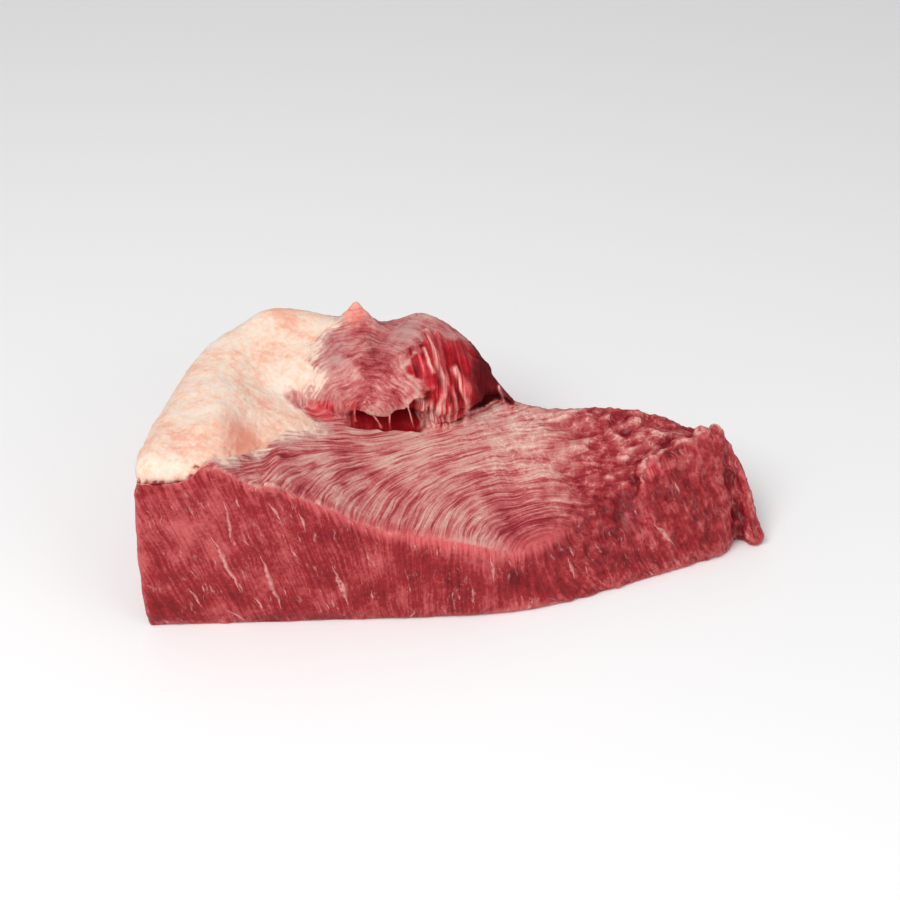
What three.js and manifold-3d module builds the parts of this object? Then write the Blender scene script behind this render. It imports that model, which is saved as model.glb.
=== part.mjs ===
// A raw piece of beef brisket lying lean side up: the long flat muscle, the point muscle
// behind it on the left, and a fat cap over the thick left end.
// Millimetres, +Z up, +X along the length towards the thin end, +Y away from the front cut.
import * as THREE from "three";
import { mergeGeometries, mergeVertices } from "three/addons/utils/BufferGeometryUtils.js";
import Module from "manifold-3d";

const { lerp, clamp, smoothstep, degToRad } = THREE.MathUtils;

// Flat muscle, the long wedge. Its front is a straight cut that bends back towards the thin end.
const FLAT = {
  left: -127,
  right: 139,
  front: -88.5, // the front cut's foot at the thick end
  skew: 0.045, // how fast the cut runs back along the length
  bend: { at: 35, slope: 0.43, softness: 12 },
  cutLean: 5, // the cut leans back this far at its top
  slopeLean: 28, // and this far past the bend, where it is a slope
  slope: { from: 12, to: 78 },
  leanPower: 1.5,
  foot: { round: 2, share: 0.12 }, // rounding in, over a share of the height
  endLean: 19, // the thin end's top lies this far behind its foot
  endBow: 6,
  thickBulge: 1.5,
  thickBow: 2,
  backLean: 6,
  backLeanPower: 3,
  climb: [-0.1, 0.9], // shares of the depth between which the top climbs from front to back
  shoulderFrom: 0.72, // share of the depth where the rounding of the back begins
  crowding: 0.25, // segments crowd towards the thin end, where the relief is finer
  segments: [64, 20, 9],
};

// Tear beside the thin end: a groove down the slope that leaves a narrow strip standing
const GROOVE = { at: 128, slant: 0.12, width: 3.5, depth: 6, fade: 0.6 };

// Lumpy torn top of the thin half: crossed waves, each [along, across, sway, sway rate]
const LUMPS = {
  height: 1.7,
  from: 25,
  to: 70,
  inset: 0.25,
  depth: 90,
  waves: [[0.33, 0.21, 1.1, 0.13], [0.19, -0.47, 0.8, 0.17]],
};

// Point muscle, the mound behind. Its lip overhangs the cleft along the flat muscle.
const POINT = {
  centre: new THREE.Vector3(-28, 22, 60),
  left: 60,
  right: 48,
  front: 37,
  back: 26,
  rise: 25,
  lip: 12, // how far the overhanging front reaches below the middle
  root: 46, // and the back
  lipTurn: [-0.5, 0.4], // directions between which lip turns into root
  squareness: 2.4,
  taper: 0.2, // the torn end draws in towards the top
  flare: 0.15, // and spreads towards its root
  sweep: 0.24, // and turns towards the front
  fall: 60, // how steeply the sides are taken to drop beside the mound
  segments: [64, 30],
};

// Upright folds of the point's torn end, between two directions round the mound, in degrees
const FOLDS = {
  counts: [9, 15.5], // two sets of folds cross, so that no two are alike
  mix: 0.4,
  depth: 5.5,
  middle: -35,
  reach: 62,
  fadeFrom: 0.5,
  top: [0.12, 0.5],
  twist: 1.6,
  crowding: 0.42,
};

// Torn tip that stands up on the crest
const TIP = { place: new THREE.Vector3(-41.5, 25, 85), radius: 14, height: 18, thin: 0.5, segments: [12, 3] };

// Fat cap: a blanket from the front cut to the back of the crest, thin along its inner rim
const FAT = {
  front: -84,
  back: 42,
  thick: 11,
  edge: 0.8, // thickness where the fat runs out over the muscle
  seat: 3, // how deep the fat is set into the muscle
  edgeSeat: 1.5,
  thinFrom: 0.1,
  round: 12, // width of the rounded outer shoulder
  rimDrop: 0.7, // share of the thickness lost over that shoulder
  backRound: 1.2,
  cutShare: 0.2, // share of the depth over which the rim is drawn to the front cut
  segments: [20, 28, 2],
};
const MUSCLE_BLEND = 6; // softness of the hollow between the two muscles under the fat
const FAT_BLEND = 18; // and of the fat that fills it
const SEAM_GAP = 0.9; // between the fat and its room in the muscle

const WELD = 1e-3; // corners closer than this are one

const LEAN_FINISH = { color: 0xa63a44, roughness: 0.45, metalness: 0 };
const FAT_FINISH = { color: 0xf3d3bd, roughness: 0.55, metalness: 0 };

// A smooth curve through a few [place, value] pairs, level at both ends.
function rail(...pairs) {
  const slope = pairs.map((pair, i) => {
    const before = pairs[i - 1];
    const after = pairs[i + 1];
    return before && after ? (after[1] - before[1]) / (after[0] - before[0]) : 0;
  });
  return (place) => {
    const at = clamp(place, pairs[0][0], pairs[pairs.length - 1][0]);
    const i = clamp(pairs.findIndex((pair) => pair[0] >= at) - 1, 0, pairs.length - 2);
    const span = pairs[i + 1][0] - pairs[i][0];
    const t = (at - pairs[i][0]) / span;
    const t2 = t * t;
    const t3 = t2 * t;
    return (
      pairs[i][1] * (2 * t3 - 3 * t2 + 1) +
      slope[i] * span * (t3 - 2 * t2 + t) +
      pairs[i + 1][1] * (3 * t2 - 2 * t3) +
      slope[i + 1] * span * (t3 - t2)
    );
  };
}

const softRamp = (d, softness) => softness * Math.log1p(Math.exp(d / softness));
const smoothMax = (a, b, blend) => (a + b + Math.hypot(a - b, blend)) / 2;
const bump = (d, width) => Math.exp(-((d / width) ** 2));

// Outline of the flat muscle, and the height of its top along the front and along the back
const frontBase = (x) =>
  FLAT.front + FLAT.skew * (x - FLAT.left) + FLAT.bend.slope * softRamp(x - FLAT.bend.at, FLAT.bend.softness);
const frontLean = (x) => lerp(FLAT.cutLean, FLAT.slopeLean, smoothstep(x, FLAT.slope.from, FLAT.slope.to));
const backBase = rail(
  [FLAT.left, -36], [-118, -2], [-100, 28], [-75, 47], [-45, 56], [-10, 52],
  [20, 37], [45, 24], [80, 18], [110, 10], [128, -3], [FLAT.right, -14],
);
const frontHeight = rail(
  [FLAT.left, 75], [-106, 74], [-97, 80.5], [-86, 73], [-76, 67.5], [-71, 69], [-61, 62.5], [-47, 55.5],
  [-36, 47.5], [-20, 42.5], [8, 36.5], [20, 31.5], [27, 28], [38, 29], [62, 31], [79, 36], [84, 43],
  [95, 47], [117, 50], [127, 45], [FLAT.right, 36],
);
const backHeight = rail(
  [FLAT.left, 67], [-112, 67.5], [-95, 69], [-62, 60], [-40, 54.5], [-18, 51], [20, 50],
  [76, 51], [95, 46], [108, 42], [122, 40], [FLAT.right, 31],
);

// Share of the height lost over the rounded back, least where the point muscle stands on it
const shoulderDrop = rail(
  [FLAT.left, 0.22], [-88, 0.12], [-55, 0.05], [0, 0.05], [35, 0.22], [FLAT.right, 0.22],
);

function lumps(x, y) {
  const waves = LUMPS.waves.map(
    ([along, across, sway, rate]) => Math.sin(along * x + across * y + sway * Math.sin(rate * (y - x))),
  );
  return (LUMPS.height * waves.reduce((sum, wave) => sum + wave, 0)) / waves.length;
}

function flatTop(x, v) {
  const slope = lerp(frontHeight(x), backHeight(x), smoothstep(v, ...FLAT.climb));
  const torn = smoothstep(x, LUMPS.from, LUMPS.to) * smoothstep(v, 0, LUMPS.inset);
  return slope + torn * lumps(x, v * LUMPS.depth);
}

// u runs from the thick end to the thin end, v from front to back, w from the underside up.
function flatPoint(u, v, w) {
  const right = FLAT.right - FLAT.endLean * w ** 2 - FLAT.endBow * v ** 2;
  const left = FLAT.left - FLAT.thickBulge * Math.sin(Math.PI * w) + FLAT.thickBow * v ** 2;
  const x = lerp(left, right, u + FLAT.crowding * u * (1 - u));
  const foot = FLAT.foot.round * (1 - Math.min(1, w / FLAT.foot.share)) ** 2;
  const height = flatTop(x, v);
  const grooved = bump(x - GROOVE.at + GROOVE.slant * w * height, GROOVE.width) * (1 - GROOVE.fade * w);
  const front = frontBase(x) + frontLean(x) * w ** FLAT.leanPower + foot + GROOVE.depth * grooved;
  const back = backBase(x) - FLAT.backLean * w ** FLAT.backLeanPower - foot;
  const shoulder = 1 - shoulderDrop(x) * smoothstep(v, FLAT.shoulderFrom, 1) ** 2;
  return [x, lerp(front, back, v), w * height * shoulder];
}

// Height of the point's crest along the length, as a share of its rise
const crest = rail(
  [-88, 0.62], [-70, 0.66], [-57, 0.8], [-46, 0.87], [-38, 0.86],
  [-32, 0.68], [-24, 0.74], [-14, 0.97], [-4, 1], [26, 0.9],
);

// Radius of the mound in a direction, with the folds of its torn end.
function pointRadius(d) {
  const depth = lerp(POINT.lip, POINT.root, smoothstep(d.y, ...POINT.lipTurn));
  const reach = [
    d.x < 0 ? POINT.left : POINT.right,
    d.y < 0 ? POINT.front : POINT.back,
    d.z < 0 ? depth : POINT.rise,
  ];
  const power = d
    .toArray()
    .reduce((sum, part, axis) => sum + (Math.abs(part) / reach[axis]) ** POINT.squareness, 0);
  const round = Math.atan2(d.y, d.x);
  const away = Math.abs(round - degToRad(FOLDS.middle)) / degToRad(FOLDS.reach);
  const torn = (1 - smoothstep(away, FOLDS.fadeFrom, 1)) * (1 - smoothstep(d.z, ...FOLDS.top));
  const folds = FOLDS.counts.map((count) => Math.abs(Math.sin(count * round + FOLDS.twist * d.z)));
  const fold = lerp(...folds, FOLDS.mix) - 1;
  return power ** (-1 / POINT.squareness) + FOLDS.depth * torn * fold;
}

// A point of the mound for a direction from its middle.
function pointPlace(direction) {
  const place = direction.clone().multiplyScalar(pointRadius(direction));
  const past = Math.max(0, place.x);
  place.x -= past * POINT.taper * smoothstep(place.z, 0, POINT.rise);
  place.x += past * POINT.flare * smoothstep(-place.z, 0, POINT.lip);
  place.y -= (POINT.sweep * past ** 2) / POINT.right;
  if (place.z > 0) place.z *= crest(place.x + POINT.centre.x);
  return place.add(POINT.centre);
}

// Height of the mound's smooth top above a place, dropping away beside it.
function pointTop(x, y) {
  const dx = x - POINT.centre.x;
  const dy = y - POINT.centre.y;
  const across = (Math.abs(dx) / (dx < 0 ? POINT.left : POINT.right)) ** POINT.squareness;
  const along = (Math.abs(dy) / (dy < 0 ? POINT.front : POINT.back)) ** POINT.squareness;
  const share = 1 - across - along;
  if (share < 0) return POINT.centre.z + POINT.fall * share;
  return POINT.centre.z + POINT.rise * crest(x) * share ** (1 / POINT.squareness);
}

function muscleTop(x, y, blend) {
  const front = frontBase(x) + frontLean(x);
  const v = clamp((y - front) / (backBase(x) - FLAT.backLean - front), 0, 1);
  return smoothMax(flatTop(x, v), pointTop(x, y), blend);
}

// The fat's outer rim follows the muscle, its inner rim runs out over the flat and the point.
const fatOuter = rail(
  [FAT.front, FLAT.left - 0.5], [-45, FLAT.left + 1], [-28, -122], [0, -115],
  [16, -107], [30, -92], [FAT.back, -73],
);
const fatInner = rail(
  [FAT.front, -106], [-72, -94], [-60, -82], [-40, -69], [-22, -53], [-15, -67], [-9, -57],
  [6, -60], [16, -58], [28, -49], [FAT.back, -52],
);

// u runs from the outer rim to the inner one, v from front to back, w from the seat up.
function fatPoint(u, v, w) {
  const y = lerp(FAT.front, FAT.back, v);
  const x = lerp(fatOuter(y), fatInner(y), u);
  const run = smoothstep(u, FAT.thinFrom, 1);
  const base = muscleTop(x, y, MUSCLE_BLEND);
  const skin = muscleTop(x, y, lerp(FAT_BLEND, MUSCLE_BLEND, run));
  const thick = lerp(FAT.thick, FAT.edge, run);
  const inset = Math.min(x - fatOuter(y), FAT.backRound * (FAT.back - y), y - FAT.front);
  const rim = (1 - clamp(inset / FAT.round, 0, 1)) ** 2;
  const top = skin + thick * (1 - FAT.rimDrop * rim);
  const seat = base - lerp(FAT.seat, FAT.edgeSeat, run);
  const z = lerp(seat, top, w);
  const cut = frontBase(x) + FLAT.cutLean * (z / frontHeight(x)) ** FLAT.leanPower;
  return [x, lerp(cut, y, smoothstep(v, 0, FAT.cutShare)), z];
}

// Only the places of the corners, each once.
function welded(geometry) {
  geometry.deleteAttribute("normal");
  geometry.deleteAttribute("uv");
  return mergeVertices(geometry, WELD);
}

// A box of fine segments, pressed into shape by a function of its three shares from 0 to 1.
function pressedBox(segments, shape) {
  const geometry = new THREE.BoxGeometry(1, 1, 1, ...segments).translate(0.5, 0.5, 0.5);
  const position = geometry.getAttribute("position");
  for (let i = 0; i < position.count; i++) {
    position.setXYZ(i, ...shape(position.getX(i), position.getY(i), position.getZ(i)));
  }
  return geometry;
}

// The same box with its flat underside, the last of its six sides, made of its rim alone.
function pressedBlock(segments, shape) {
  const block = pressedBox(segments, shape);
  const underside = block.groups[5];
  block.setIndex([...block.index.array.slice(0, underside.start)]);
  block.clearGroups();
  const [across, along] = segments;
  const rim = [];
  for (let i = 0; i < across; i++) rim.push(shape(i / across, 0, 0));
  for (let i = 0; i < along; i++) rim.push(shape(1, i / along, 0));
  for (let i = across; i > 0; i--) rim.push(shape(i / across, 1, 0));
  for (let i = along; i > 0; i--) rim.push(shape(0, i / along, 0));
  const floor = new THREE.ShapeGeometry(new THREE.Shape(rim.map(([x, y]) => new THREE.Vector2(x, y))));
  floor.setIndex([...floor.index.array].reverse());
  return mergeGeometries([block, floor]);
}

// A sphere pressed into the mound, its meridians crowded towards the torn end.
function pointMound() {
  const geometry = new THREE.SphereGeometry(1, ...POINT.segments).rotateX(Math.PI / 2);
  const position = geometry.getAttribute("position");
  const direction = new THREE.Vector3();
  const upright = new THREE.Vector3(0, 0, 1);
  for (let i = 0; i < position.count; i++) {
    direction.fromBufferAttribute(position, i).normalize();
    const off = Math.atan2(direction.y, direction.x) - degToRad(FOLDS.middle);
    direction.applyAxisAngle(upright, -FOLDS.crowding * Math.sin(off));
    position.setXYZ(i, ...pointPlace(direction));
  }
  return geometry;
}

function tornTip() {
  return new THREE.ConeGeometry(TIP.radius, TIP.height, ...TIP.segments)
    .rotateX(Math.PI / 2)
    .scale(1, TIP.thin, 1)
    .translate(...TIP.place);
}

const wasm = await Module();
wasm.setup();

// The geometry pushed out along its normals.
function grown(geometry, distance) {
  const merged = welded(geometry);
  merged.computeVertexNormals();
  const position = merged.getAttribute("position");
  const normal = merged.getAttribute("normal");
  const corner = new THREE.Vector3();
  const out = new THREE.Vector3();
  for (let i = 0; i < position.count; i++) {
    corner.fromBufferAttribute(position, i);
    corner.addScaledVector(out.fromBufferAttribute(normal, i), distance);
    position.setXYZ(i, ...corner);
  }
  return merged;
}

function solid(geometry) {
  const merged = welded(geometry);
  return new wasm.Manifold(
    new wasm.Mesh({
      numProp: 3,
      vertProperties: merged.getAttribute("position").array,
      triVerts: new Uint32Array(merged.index.array),
    }),
  );
}

function meshOf(made, name, finish) {
  const { vertProperties, triVerts } = made.getMesh();
  const geometry = new THREE.BufferGeometry()
    .setAttribute("position", new THREE.BufferAttribute(vertProperties, 3))
    .setIndex(new THREE.BufferAttribute(triVerts, 1));
  geometry.computeVertexNormals();
  const mesh = new THREE.Mesh(geometry, new THREE.MeshStandardMaterial(finish));
  mesh.name = name;
  return mesh;
}

const flat = solid(pressedBlock(FLAT.segments, flatPoint));
const point = solid(pointMound()).add(solid(tornTip()));
const fat = solid(pressedBox(FAT.segments, fatPoint));
const fatRoom = solid(grown(pressedBox(FAT.segments, fatPoint), SEAM_GAP));
const lean = flat.add(point).subtract(fatRoom);

const brisket = new THREE.Group();
brisket.add(meshOf(lean, "lean", LEAN_FINISH));
brisket.add(meshOf(fat, "fat_cap", FAT_FINISH));

// The origin is the middle of the underside.
const box = new THREE.Box3().setFromObject(brisket);
const middle = box.getCenter(new THREE.Vector3());
brisket.position.set(-middle.x, -middle.y, -box.min.z);

export default brisket;
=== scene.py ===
"""Dresses the raw beef brisket: muscle with its grain, film and marbling, the fat cap and torn strands."""
import itertools
import math

import bpy
import numpy as np
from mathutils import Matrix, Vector
from mathutils.bvhtree import BVHTree


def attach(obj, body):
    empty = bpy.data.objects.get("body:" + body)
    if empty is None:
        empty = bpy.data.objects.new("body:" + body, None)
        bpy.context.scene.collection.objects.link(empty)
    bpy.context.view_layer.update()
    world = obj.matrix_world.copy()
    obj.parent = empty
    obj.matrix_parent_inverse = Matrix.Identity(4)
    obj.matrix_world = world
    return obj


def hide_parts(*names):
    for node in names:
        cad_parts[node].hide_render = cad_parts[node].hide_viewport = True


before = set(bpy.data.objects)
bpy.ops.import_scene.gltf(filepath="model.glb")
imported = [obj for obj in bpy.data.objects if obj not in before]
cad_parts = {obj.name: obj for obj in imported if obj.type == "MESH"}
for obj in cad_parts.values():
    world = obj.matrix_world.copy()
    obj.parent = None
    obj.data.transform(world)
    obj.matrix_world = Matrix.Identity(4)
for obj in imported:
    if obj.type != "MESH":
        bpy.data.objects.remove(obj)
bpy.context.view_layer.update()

lean_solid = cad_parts["lean"].data
fat_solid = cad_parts["fat_cap"].data

# Lengths are millimetres in the part's frame, until a mesh is written. A pair in brackets is a span over
# which something fades. Points are divided by the size of a noise's lumps, and its seed only sets it apart.
MM = 0.001
SEED = 11

# Sizes of the even squares that meshes are rebuilt from, and rounds of smoothing
FORM_VOXEL, FORM_ROUNDS = 1.3, 14
GRAIN_VOXEL, GRAIN_ROUNDS = 0.8, 3
FAT_VOXEL, FAT_ROUNDS, SWOLLEN_ROUNDS = 1.0, 8, 4
FACING_ROUNDS = 4
MUSCLE_TRIANGLES = 194_000

# The seam: the solids' gap, how far muscle and fat swell to close it, and how near the fat and the skin
# over both the muscle follows that skin
SEAM_GAP = 0.9
LEAN_LAP, LEAN_LAP_SPAN, FAT_LAP = 0.8, (1.5, 3.0), 0.9
SEAM_REACH, SKIN_REACH = (5, 9), (1.6, 3.2)

# The fat: its swelling while that skin is made, the rounds that ease it, and how far its middle lies above
# the skin and its edge below
FAT_SWELL, FAT_EASE = 1.0, 170
FAT_RISE, FAT_DIP = 0.35, 0.8

# Where the fat is cut off in front, and where it is pinker
FAT_FRONT = -63.0
BLUSH, BLUSH_REACH = (-91.0, -41.0, 73.0), (10.0, 21.0, 22.0)

# Grain of the flat's top: arcs about a centre on the front edge that flatten out to the left. They are
# found by halving, and length along them is told by how far right and back a place is.
GRAIN_CENTRE = (45.0, -64.0)
GRAIN_ROUND, GRAIN_FLAT = 20.0, 200.0
GRAIN_POWER, GRAIN_SQUASH = (2.0, 0.65), (1.0, 1.4)
GRAIN_BOW, GRAIN_BOW_REACH = 0.39, 58.0
GRAIN_LIMITS, GRAIN_STEPS = (0.1, 500.0), 30
GRAIN_ALONG = 0.8

# Grain of the cut faces: the height that its slant turns about, and how far an end face looks aside
CUT_MIDDLE, END_FACING = 35.0, 0.75

# Numbers that set the grain of the top, the cut faces, the point muscle and its torn end apart
TOP_GRAIN, CUT_GRAIN, LOBE_GRAIN, TORN_GRAIN = 0, 40, 80, 120

# Front cut: its foot at the thick end, how fast it runs back, where it bends and how far it leans
FRONT_LEFT, FRONT_FOOT, FRONT_SKEW = -132.3, -72.45, 0.045
FRONT_BEND, FRONT_SLOPE, FRONT_SOFTNESS = 29.7, 0.43, 12.0
FRONT_LEANS, FRONT_LEAN_SPAN = (5.0, 28.0), (6.7, 72.7)

# Cut faces: how soft the front's edge is along the length, what shifts it, how far back it reaches, the two
# ends, and how far a face looks aside, down or back
CUT_SOFTNESS, CUT_SOFTENS = (0.12, 0.45), (0, 40)
CUT_UPWARD, CUT_RAGGED, CUT_ROLL = 0.75, 0.8, 0.3
ROLL_FROM, ROLL_TO = (-14, 8), (16, 34)
FRONT_SPAN = (3, 7)
LEFT_END, RIGHT_END = (-124, -112), (106, 116)
SIDE_FACING, UNDER_FACING, BACK_FACING = (0.1, 0.4), (0.5, 0.8), (0.4, 0.7)
UNDER_TOP = 5
BACK_CORNER = (60, 75)

# The shoulder over the bend of the front cut, which is rounded
SHOULDER_FROM, SHOULDER_TO = (2, 30), (62, 80)
SHOULDER_BACK, SHOULDER_UP, SHOULDER_ROUNDS = (4, 14), (4, 12), 70

# Lumps of the thin half, the slack film beside them, wrinkles, and shreds on the cut faces
LUMP_FROM = (30, 58)
SLACK_FROM, SLACK_BACK = (-20, 25), (-36, -10)
WRINKLE_HEIGHT, WRINKLE_BACK, SHREDS_FROM = 1.4, (16, 28), (25, 60)
BROAD_LUMPS, NARROW_LUMPS = (15.0, 10.0, 12.0), (7.5, 5.0, 6.0)

# Point muscle: its mound's middle, right end, front and step up from the cleft, the swirl in its grain, its
# torn tip and its relief
MOUND = (-33.3, 38.0)
POINT_END, POINT_FRONT, POINT_STEP = 28, (22, 34), 1.5
SWIRL, SWIRL_AXIS, SWIRL_TURN = (-40.0, 2.7, 55.0), (0.0, -0.82, 0.57), 45.0
TIP, TIP_SPAN = (-46.8, 41.0, 90.0), (5, 9)
POINT_RELIEF = 0.7

# The hollow under the point's lip, and the step down to its floor
LIP_DEPTH, LIP_SOFT = 9.0, 1.6
LIP_FROM, LIP_TO = (-53.0, -46.0), (-20.0, -13.0)
GAP_DEPTH, GAP_RISE, GAP_LOWEST = 3.0, (2, 4), 30
FILL_TO, FILL_BELOW = (0, 4), (58, 66)

# The torn end of the point: its depth, folds and back edge, the pit in it with its painted shade, and
# its foot that spreads
TEAR_DEPTH, TEAR_FOLDS, TEAR_SOFT, TEAR_BELOW = 2.5, 2.2, (0, 5), (76, 84)
TEAR_BACK, TEAR_BACK_SPAN, TEAR_BACK_SOFT = (30, 46), (-6, 6), 3
PIT_DEPTH, PIT_FROM, PIT_TO, PIT_BELOW = 4.0, (3.0, 7.0), (12.0, 16.0), (68, 77)
PIT_SHADE_FROM, PIT_SHADE_BELOW, FOLDS_END = (1, 8), (68, 86), (9, 15)
FOOT_REACH, FOOT_ALONG, FOOT_BELOW = 7, (4, 14), (50, 64)
FOOT_FROM, FOOT_TO = (8, 14), (22, 32)

# Creases (depth below 0) and ridges (above 0) along the muscle: width, depth, path. The first is the
# curled flap at the thin end, whose crest is pale.
STROKES = [
    (1.9, 2.8, [(78, -19, 37), (76.5, -16, 40), (79, -13, 44), (83, -12, 45), (88, -9, 47), (99, -3, 49),
                (111, 5, 49)]),
    (3.6, -2.4, [(74, -8, 42), (82, -4, 46), (92, 2, 48), (104, 9, 47)]),
    (2.2, 3.0, [(-78.5, -64.5, 68.5), (-75.5, -65.5, 67.5)]),
    (2.6, -1.8, [(-79, -38, 67), (-75, -39, 66.5), (-70.5, -35, 64.3)]),
    (4.2, -1.4, [(33, 14, 49), (43, 10, 48), (57, 8, 46)]),
    (3.8, -1.4, [(68, 16, 48), (80, 15, 48), (91, 14, 47)]),
    (3.6, -1.3, [(32, -6, 43), (43, -12, 39)]),
    (4.0, -1.6, [(21, -60, 24), (24, -58, 8)]),
    (3.0, -3.4, [(118, -4, 40), (122, -11, 14), (123, -14, 2)]),
]
STROKE_UNEVEN = 0.5
CURL, CURL_WIDTH = np.array(STROKES[0][2], float) + (0.0, -1.0, 2.6), 2.4

# Marbling that stands out on the front cut: half its width, then its ends along the length and up
VEINS = [
    (0.75, (-102.2, 44.6), (-92.6, 19.2)),
    (0.85, (-82.8, 33.8), (-76.4, 10.8)),
    (1.0, (-51.0, 22.5), (-48.4, 11.2)),
    (0.7, (-53.5, 28.0), (-51.0, 17.5)),
    (0.6, (-78.3, 60.1), (-74.6, 52.9)),
    (0.55, (-96.4, 61.2), (-94.5, 44.2)),
    (0.55, (-66.4, 54.7), (-64.6, 47.5)),
    (0.6, (-113.2, 19.9), (-109.6, 12.0)),
    (0.6, (-97.4, 7.8), (-91.6, 2.3)),
    (0.7, (12.0, 27.0), (13.0, 19.0)),
    (0.8, (84.0, 22.0), (91.0, 14.0)),
    (0.7, (45.5, 17.0), (47.0, 12.0)),
]
VEIN_WANDER, FAR_FROM_VEIN = 0.8, 9.0

# Lighter (above 0) and darker (below 0) areas of the muscle, some of them painted shade: place, reach,
# strength
BLOTS = [
    ((-106, -70, 46), 26, 0.7),
    ((-128, -70, 4), 20, -1.0),
    # Painted shade in the hollow where the front cut turns the corner
    ((22, -59, 17), 8, -1.0),
    ((60, -45, 12), 26, -0.5),
    ((100, -20, 22), 24, -0.4),
    ((-36, 6, 68), 24, -0.6),
    ((-25, 2, 46), 20, 0.9),
    ((20, 12, 48), 20, 0.8),
    ((25, -44, 33), 18, -1.2),
    ((-90, -48, 71), 7, -1.0),
    ((-75, -39, 67), 5, -1.2),
    ((-4, -62, 37), 9, 1.0),
    ((10, -60, 33), 9, 1.7),
    ((24, -57, 29), 9, 1.7),
    # Painted shade down the groove at the thin end
    ((119, -6, 32), 6, -0.8),
    ((122, -12, 10), 7, -1.0),
    ((84, -12, 45), 8, 0.7),
    ((104, 2, 49), 9, 0.6),
]

# Sinews that stand out on the torn end: half width, height, paleness, places along and up the leaning face
TORN_LEAN, TORN_FLOOR, TORN_FRONT = math.radians(35.0), 44, (1, 4)
SINEWS = [
    (1.4, 1.4, 0.8, [(-15.2, 86.1), (-13.7, 80.4), (-11.5, 74.4), (-10.4, 69.3), (-8.3, 64.9), (-7.5, 60.3),
                     (-8.3, 56.2), (-10.5, 51.3), (-11.4, 46.0)]),
    (0.8, 0.6, 1.0, [(-16.4, 77.5), (-14.3, 71.4), (-12.6, 67.4)]),
    (1.1, 1.1, 0.3, [(-11.2, 85.7), (-10.5, 81.2), (-9.2, 74.4), (-7.4, 68.4), (-6.0, 62.0)]),
    (1.2, 1.2, 0.9, [(-3.2, 69.3), (-1.1, 63.6), (0.4, 59.4), (2.1, 55.7), (2.0, 49.9), (1.4, 45.5)]),
    (0.9, 0.9, 0.6, [(-4.7, 61.0), (-3.2, 56.4), (-2.5, 52.2), (-3.1, 48.9), (-3.5, 45.0)]),
    (1.6, 0.4, 1.0, [(-20.0, 56.3), (-16.5, 54.6), (-15.7, 50.3), (-14.9, 44.3)]),
    (1.2, 0.3, 1.0, [(-13.5, 53.3), (-12.7, 49.1), (-12.3, 43.4)]),
    (1.2, 0.3, 1.0, [(-9.3, 48.2), (-7.5, 43.6)]),
    (1.1, 0.3, 1.0, [(-6.1, 48.2), (-4.8, 43.9)]),
    (0.6, 0.2, 0.9, [(16.5, 62.0), (18.5, 56.5), (20.0, 51.0)]),
]
SINEW_TO, SINEW_ALONG, SINEW_END = (34, 38), (-27, -23), 26

# The clump of sinew ends at the foot of the torn end: its middle and reach along and up the leaning face
CLUMP, CLUMP_REACH = (-12.5, 49.2), (8.5, 6.5)
CLUMP_TO, CLUMP_HEIGHT = (20, 26), 1.3

# Violet film and coral flesh on the muscle, and flesh that laps over the fat's inner corner: place, reach
VIOLET = [((-25, 33, 80), (9, 10, 9)), ((-68, 4, 65), (11, 6, 5)), ((-56, 18, 80), (7, 12, 10))]
CORAL = [((-62, 2.5, 61.5), (9, 6, 4)), ((-46, 1, 62), (3, 4, 5)), ((81.5, -16, 41), (3, 3, 3))]
FLESH = [((-72, 4, 65.5), (8, 6, 4)), ((-65, 2, 62), (8, 6, 4))]

# Thin strands across the hollow under the lip: half their width, then the places that they run between
STRANDS = [
    (0.55, [(-31.2, 2.2, 62.5), (-31.7, 3.2, 55), (-31.4, 5, 48)]),
    (0.4, [(-23.6, 2.4, 63), (-22.4, 4, 56.5), (-21, 6.2, 48)]),
    (0.6, [(-42.2, 0.6, 66.5), (-39.4, 1.6, 60), (-36.6, 3.2, 54), (-35.2, 4.4, 49.5)]),
    (0.6, [(-45.4, 0.4, 67.5), (-46.6, 0.3, 61), (-46.2, 1.2, 55.5)]),
]

# Colours as seen on screen, each part from 0 to 255. In a list, each comes after the tone it stands for.
CUT_TONES = [(0.38, 102, 14, 21), (0.5, 149, 35, 41), (0.62, 193, 88, 89)]
FILM_TONES = [(0.3, 140, 36, 46), (0.44, 184, 86, 89), (0.55, 203, 136, 129), (0.68, 216, 174, 161),
              (0.82, 236, 208, 194)]
BARE_TONES = [(0.3, 108, 14, 26), (0.46, 156, 44, 51), (0.6, 186, 94, 93), (0.76, 224, 172, 161)]
TORN_TONES = [(0.3, 96, 0, 10), (0.46, 150, 8, 24), (0.6, 186, 28, 42), (0.76, 218, 100, 102)]
# Painted shade: the colours of the pit in the torn end and of the gap under the lip, darker where deeper
PIT_SHADE_TONES = [(0.5, 148, 8, 20), (1.0, 70, 2, 7)]
TIP_TONES = [(0.4, 202, 78, 74), (0.5, 219, 116, 104), (0.62, 231, 160, 146)]
CORAL_TONES = [(0.36, 170, 30, 44), (0.5, 202, 70, 76), (0.64, 214, 130, 126)]
FAT_TONES = [(0.42, 238, 176, 152), (0.49, 241, 202, 179), (0.56, 238, 217, 200)]
FLESH_TONES = [(0.34, 172, 62, 70), (0.5, 198, 108, 108), (0.66, 210, 156, 150)]
STRAND_TONES = [(0.36, 176, 34, 44), (0.5, 200, 84, 84), (0.64, 232, 172, 164)]
# A painted highlight along the front cut's top edge, on the cut and on the top beside it; the dark red teeth
# there are the flesh's own
RIM_HIGHLIGHT_RED, BRIM_HIGHLIGHT_PINK, TEETH_RED = (216, 100, 103), (208, 98, 98), (158, 40, 48)
VIOLET_FILM, GREY_FILM, CREAM_FILM = (188, 146, 140), (206, 166, 157), (236, 204, 184)
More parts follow.
